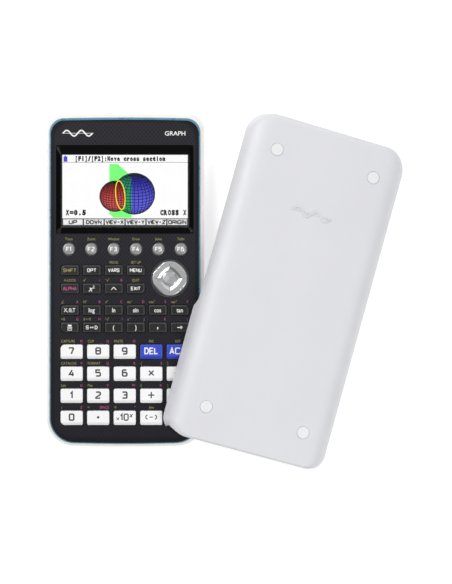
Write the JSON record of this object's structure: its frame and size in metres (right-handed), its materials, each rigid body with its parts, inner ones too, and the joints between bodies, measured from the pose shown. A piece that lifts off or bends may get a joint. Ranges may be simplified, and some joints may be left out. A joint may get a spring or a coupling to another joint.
{
  "type": "graphing calculator",
  "caption": "Handheld colour-screen graphing calculator with sprung keys, a rocking direction pad, a hinged battery lid and a loose slide-on hard cover.",
  "frame": {"origin": "middle of the calculator's flat back, on the surface that it lies on", "axes": "+X to the calculator's right, +Y towards its screen end, +Z out of its face"},
  "size_m": [0.2015, 0.2007, 0.0317],
  "materials": {
    "white_case": "satin moulded",
    "blue_trim": "metallic satin",
    "black_case": "fine dotted texture, satin",
    "clear_window": "clear polished",
    "lcd_glass": "smooth",
    "circuit_board": "solder mask",
    "silicone_rubber": "matt",
    "battery_can": "printed sleeve",
    "contact_steel": "plated",
    "screw_steel": "plated",
    "cover_plastic": "fine moulded texture",
    "black_key": "satin",
    "white_key": "satin",
    "blue_key": "satin",
    "silver_key": "metallic paint"
  },
  "bodies": {
    "calculator": {"rear_case": "white_case", "front_case": "black_case", "trim_band": "blue_trim", "display_window": "clear_window", "lcd_module": "lcd_glass", "main_board": "circuit_board", "keypad_membrane": "silicone_rubber", "batteries": "battery_can", "battery_contacts": "contact_steel", "case_screws": "screw_steel"},
    "battery_lid": {"battery_cover": "white_case"},
    "cover": {"hard_cover": "cover_plastic"},
    "pad_carrier": {"nav_carrier": "black_key"},
    "pad": {"nav_pad": "silver_key"},
    "key_shift_cap": {"key_shift": "black_key"},
    "key_options_cap": {"key_options": "black_key"},
    "key_variables_cap": {"key_variables": "black_key"},
    "key_menu_cap": {"key_menu": "black_key"},
    "key_alpha_cap": {"key_alpha": "black_key"},
    "key_square_cap": {"key_square": "black_key"},
    "key_power_cap": {"key_power": "black_key"},
    "key_exit_cap": {"key_exit": "black_key"},
    "key_x_theta_t_cap": {"key_x_theta_t": "black_key"},
    "key_log_cap": {"key_log": "black_key"},
    "key_ln_cap": {"key_ln": "black_key"},
    "key_sin_cap": {"key_sin": "black_key"},
    "key_cos_cap": {"key_cos": "black_key"},
    "key_tan_cap": {"key_tan": "black_key"},
    "key_fraction_cap": {"key_fraction": "black_key"},
    "key_s_to_d_cap": {"key_s_to_d": "black_key"},
    "key_open_bracket_cap": {"key_open_bracket": "black_key"},
    "key_close_bracket_cap": {"key_close_bracket": "black_key"},
    "key_comma_cap": {"key_comma": "black_key"},
    "key_store_cap": {"key_store": "black_key"},
    "key_7_cap": {"key_7": "white_key"},
    "key_8_cap": {"key_8": "white_key"},
    "key_9_cap": {"key_9": "white_key"},
    "key_delete_cap": {"key_delete": "blue_key"},
    "key_on_cap": {"key_on": "blue_key"},
    "key_4_cap": {"key_4": "white_key"},
    "key_5_cap": {"key_5": "white_key"},
    "key_6_cap": {"key_6": "white_key"},
    "key_multiply_cap": {"key_multiply": "white_key"},
    "key_divide_cap": {"key_divide": "white_key"},
    "key_1_cap": {"key_1": "white_key"},
    "key_2_cap": {"key_2": "white_key"},
    "key_3_cap": {"key_3": "white_key"},
    "key_plus_cap": {"key_plus": "white_key"},
    "key_minus_cap": {"key_minus": "white_key"},
    "key_0_cap": {"key_0": "white_key"},
    "key_point_cap": {"key_point": "white_key"},
    "key_exponent_cap": {"key_exponent": "white_key"},
    "key_negative_cap": {"key_negative": "white_key"},
    "key_execute_cap": {"key_execute": "white_key"},
    "key_f1_cap": {"key_f1": "silver_key"},
    "key_f2_cap": {"key_f2": "silver_key"},
    "key_f3_cap": {"key_f3": "silver_key"},
    "key_f4_cap": {"key_f4": "silver_key"},
    "key_f5_cap": {"key_f5": "silver_key"},
    "key_f6_cap": {"key_f6": "silver_key"}
  },
  "joints": [
    {"name": "pad_rock_up_down", "type": "hinge", "parent": "calculator", "child": "pad_carrier", "pos_m": [0.0252, 0.00055, 0.0149], "axis": [1, 0, 0], "range_deg": [-3, 3], "stiffness_Nm_per_rad": 0.12, "deforming": ["keypad_membrane"]},
    {"name": "pad_rock_left_right", "type": "hinge", "parent": "pad_carrier", "child": "pad", "pos_m": [0.0252, 0.00055, 0.0149], "axis": [0, 1, 0], "range_deg": [-3, 3], "stiffness_Nm_per_rad": 0.12},
    {"name": "battery_lid_hinge", "type": "hinge", "parent": "calculator", "child": "battery_lid", "pos_m": [0, 0.0239, 0.0009], "axis": [-1, 0, 0], "range_deg": [0, 75]},
    {"name": "cover_lift", "type": "slide", "parent": "calculator", "child": "cover", "axis": [0, 0, 1], "range_m": [0, 0.06]},
    {"name": "key_shift_press", "type": "slide", "parent": "calculator", "child": "key_shift_cap", "axis": [0, 0, -1], "range_m": [0, 0.0009], "stiffness_N_per_m": 600, "deforming": ["keypad_membrane"]},
    {"name": "key_options_press", "type": "slide", "parent": "calculator", "child": "key_options_cap", "axis": [0, 0, -1], "range_m": [0, 0.0009], "stiffness_N_per_m": 600, "deforming": ["keypad_membrane"]},
    {"name": "key_variables_press", "type": "slide", "parent": "calculator", "child": "key_variables_cap", "axis": [0, 0, -1], "range_m": [0, 0.0009], "stiffness_N_per_m": 600, "deforming": ["keypad_membrane"]},
    {"name": "key_menu_press", "type": "slide", "parent": "calculator", "child": "key_menu_cap", "axis": [0, 0, -1], "range_m": [0, 0.0009], "stiffness_N_per_m": 600, "deforming": ["keypad_membrane"]},
    {"name": "key_alpha_press", "type": "slide", "parent": "calculator", "child": "key_alpha_cap", "axis": [0, 0, -1], "range_m": [0, 0.0009], "stiffness_N_per_m": 600, "deforming": ["keypad_membrane"]},
    {"name": "key_square_press", "type": "slide", "parent": "calculator", "child": "key_square_cap", "axis": [0, 0, -1], "range_m": [0, 0.0009], "stiffness_N_per_m": 600, "deforming": ["keypad_membrane"]},
    {"name": "key_power_press", "type": "slide", "parent": "calculator", "child": "key_power_cap", "axis": [0, 0, -1], "range_m": [0, 0.0009], "stiffness_N_per_m": 600, "deforming": ["keypad_membrane"]},
    {"name": "key_exit_press", "type": "slide", "parent": "calculator", "child": "key_exit_cap", "axis": [0, 0, -1], "range_m": [0, 0.0009], "stiffness_N_per_m": 600, "deforming": ["keypad_membrane"]},
    {"name": "key_x_theta_t_press", "type": "slide", "parent": "calculator", "child": "key_x_theta_t_cap", "axis": [0, 0, -1], "range_m": [0, 0.0009], "stiffness_N_per_m": 600, "deforming": ["keypad_membrane"]},
    {"name": "key_log_press", "type": "slide", "parent": "calculator", "child": "key_log_cap", "axis": [0, 0, -1], "range_m": [0, 0.0009], "stiffness_N_per_m": 600, "deforming": ["keypad_membrane"]},
    {"name": "key_ln_press", "type": "slide", "parent": "calculator", "child": "key_ln_cap", "axis": [0, 0, -1], "range_m": [0, 0.0009], "stiffness_N_per_m": 600, "deforming": ["keypad_membrane"]},
    {"name": "key_sin_press", "type": "slide", "parent": "calculator", "child": "key_sin_cap", "axis": [0, 0, -1], "range_m": [0, 0.0009], "stiffness_N_per_m": 600, "deforming": ["keypad_membrane"]},
    {"name": "key_cos_press", "type": "slide", "parent": "calculator", "child": "key_cos_cap", "axis": [0, 0, -1], "range_m": [0, 0.0009], "stiffness_N_per_m": 600, "deforming": ["keypad_membrane"]},
    {"name": "key_tan_press", "type": "slide", "parent": "calculator", "child": "key_tan_cap", "axis": [0, 0, -1], "range_m": [0, 0.0009], "stiffness_N_per_m": 600, "deforming": ["keypad_membrane"]},
    {"name": "key_fraction_press", "type": "slide", "parent": "calculator", "child": "key_fraction_cap", "axis": [0, 0, -1], "range_m": [0, 0.0009], "stiffness_N_per_m": 600, "deforming": ["keypad_membrane"]},
    {"name": "key_s_to_d_press", "type": "slide", "parent": "calculator", "child": "key_s_to_d_cap", "axis": [0, 0, -1], "range_m": [0, 0.0009], "stiffness_N_per_m": 600, "deforming": ["keypad_membrane"]},
    {"name": "key_open_bracket_press", "type": "slide", "parent": "calculator", "child": "key_open_bracket_cap", "axis": [0, 0, -1], "range_m": [0, 0.0009], "stiffness_N_per_m": 600, "deforming": ["keypad_membrane"]},
    {"name": "key_close_bracket_press", "type": "slide", "parent": "calculator", "child": "key_close_bracket_cap", "axis": [0, 0, -1], "range_m": [0, 0.0009], "stiffness_N_per_m": 600, "deforming": ["keypad_membrane"]},
    {"name": "key_comma_press", "type": "slide", "parent": "calculator", "child": "key_comma_cap", "axis": [0, 0, -1], "range_m": [0, 0.0009], "stiffness_N_per_m": 600, "deforming": ["keypad_membrane"]},
    {"name": "key_store_press", "type": "slide", "parent": "calculator", "child": "key_store_cap", "axis": [0, 0, -1], "range_m": [0, 0.0009], "stiffness_N_per_m": 600, "deforming": ["keypad_membrane"]},
    {"name": "key_7_press", "type": "slide", "parent": "calculator", "child": "key_7_cap", "axis": [0, 0, -1], "range_m": [0, 0.0009], "stiffness_N_per_m": 600, "deforming": ["keypad_membrane"]},
    {"name": "key_8_press", "type": "slide", "parent": "calculator", "child": "key_8_cap", "axis": [0, 0, -1], "range_m": [0, 0.0009], "stiffness_N_per_m": 600, "deforming": ["keypad_membrane"]},
    {"name": "key_9_press", "type": "slide", "parent": "calculator", "child": "key_9_cap", "axis": [0, 0, -1], "range_m": [0, 0.0009], "stiffness_N_per_m": 600, "deforming": ["keypad_membrane"]},
    {"name": "key_delete_press", "type": "slide", "parent": "calculator", "child": "key_delete_cap", "axis": [0, 0, -1], "range_m": [0, 0.0009], "stiffness_N_per_m": 600, "deforming": ["keypad_membrane"]},
    {"name": "key_on_press", "type": "slide", "parent": "calculator", "child": "key_on_cap", "axis": [0, 0, -1], "range_m": [0, 0.0009], "stiffness_N_per_m": 600, "deforming": ["keypad_membrane"]},
    {"name": "key_4_press", "type": "slide", "parent": "calculator", "child": "key_4_cap", "axis": [0, 0, -1], "range_m": [0, 0.0009], "stiffness_N_per_m": 600, "deforming": ["keypad_membrane"]},
    {"name": "key_5_press", "type": "slide", "parent": "calculator", "child": "key_5_cap", "axis": [0, 0, -1], "range_m": [0, 0.0009], "stiffness_N_per_m": 600, "deforming": ["keypad_membrane"]},
    {"name": "key_6_press", "type": "slide", "parent": "calculator", "child": "key_6_cap", "axis": [0, 0, -1], "range_m": [0, 0.0009], "stiffness_N_per_m": 600, "deforming": ["keypad_membrane"]},
    {"name": "key_multiply_press", "type": "slide", "parent": "calculator", "child": "key_multiply_cap", "axis": [0, 0, -1], "range_m": [0, 0.0009], "stiffness_N_per_m": 600, "deforming": ["keypad_membrane"]},
    {"name": "key_divide_press", "type": "slide", "parent": "calculator", "child": "key_divide_cap", "axis": [0, 0, -1], "range_m": [0, 0.0009], "stiffness_N_per_m": 600, "deforming": ["keypad_membrane"]},
    {"name": "key_1_press", "type": "slide", "parent": "calculator", "child": "key_1_cap", "axis": [0, 0, -1], "range_m": [0, 0.0009], "stiffness_N_per_m": 600, "deforming": ["keypad_membrane"]},
    {"name": "key_2_press", "type": "slide", "parent": "calculator", "child": "key_2_cap", "axis": [0, 0, -1], "range_m": [0, 0.0009], "stiffness_N_per_m": 600, "deforming": ["keypad_membrane"]},
    {"name": "key_3_press", "type": "slide", "parent": "calculator", "child": "key_3_cap", "axis": [0, 0, -1], "range_m": [0, 0.0009], "stiffness_N_per_m": 600, "deforming": ["keypad_membrane"]},
    {"name": "key_plus_press", "type": "slide", "parent": "calculator", "child": "key_plus_cap", "axis": [0, 0, -1], "range_m": [0, 0.0009], "stiffness_N_per_m": 600, "deforming": ["keypad_membrane"]},
    {"name": "key_minus_press", "type": "slide", "parent": "calculator", "child": "key_minus_cap", "axis": [0, 0, -1], "range_m": [0, 0.0009], "stiffness_N_per_m": 600, "deforming": ["keypad_membrane"]},
    {"name": "key_0_press", "type": "slide", "parent": "calculator", "child": "key_0_cap", "axis": [0, 0, -1], "range_m": [0, 0.0009], "stiffness_N_per_m": 600, "deforming": ["keypad_membrane"]},
    {"name": "key_point_press", "type": "slide", "parent": "calculator", "child": "key_point_cap", "axis": [0, 0, -1], "range_m": [0, 0.0009], "stiffness_N_per_m": 600, "deforming": ["keypad_membrane"]},
    {"name": "key_exponent_press", "type": "slide", "parent": "calculator", "child": "key_exponent_cap", "axis": [0, 0, -1], "range_m": [0, 0.0009], "stiffness_N_per_m": 600, "deforming": ["keypad_membrane"]},
    {"name": "key_negative_press", "type": "slide", "parent": "calculator", "child": "key_negative_cap", "axis": [0, 0, -1], "range_m": [0, 0.0009], "stiffness_N_per_m": 600, "deforming": ["keypad_membrane"]},
    {"name": "key_execute_press", "type": "slide", "parent": "calculator", "child": "key_execute_cap", "axis": [0, 0, -1], "range_m": [0, 0.0009], "stiffness_N_per_m": 600, "deforming": ["keypad_membrane"]},
    {"name": "key_f1_press", "type": "slide", "parent": "calculator", "child": "key_f1_cap", "axis": [0, 0, -1], "range_m": [0, 0.0009], "stiffness_N_per_m": 450, "deforming": ["keypad_membrane"]},
    {"name": "key_f2_press", "type": "slide", "parent": "calculator", "child": "key_f2_cap", "axis": [0, 0, -1], "range_m": [0, 0.0009], "stiffness_N_per_m": 450, "deforming": ["keypad_membrane"]},
    {"name": "key_f3_press", "type": "slide", "parent": "calculator", "child": "key_f3_cap", "axis": [0, 0, -1], "range_m": [0, 0.0009], "stiffness_N_per_m": 450, "deforming": ["keypad_membrane"]},
    {"name": "key_f4_press", "type": "slide", "parent": "calculator", "child": "key_f4_cap", "axis": [0, 0, -1], "range_m": [0, 0.0009], "stiffness_N_per_m": 450, "deforming": ["keypad_membrane"]},
    {"name": "key_f5_press", "type": "slide", "parent": "calculator", "child": "key_f5_cap", "axis": [0, 0, -1], "range_m": [0, 0.0009], "stiffness_N_per_m": 450, "deforming": ["keypad_membrane"]},
    {"name": "key_f6_press", "type": "slide", "parent": "calculator", "child": "key_f6_cap", "axis": [0, 0, -1], "range_m": [0, 0.0009], "stiffness_N_per_m": 450, "deforming": ["keypad_membrane"]}
  ]
}
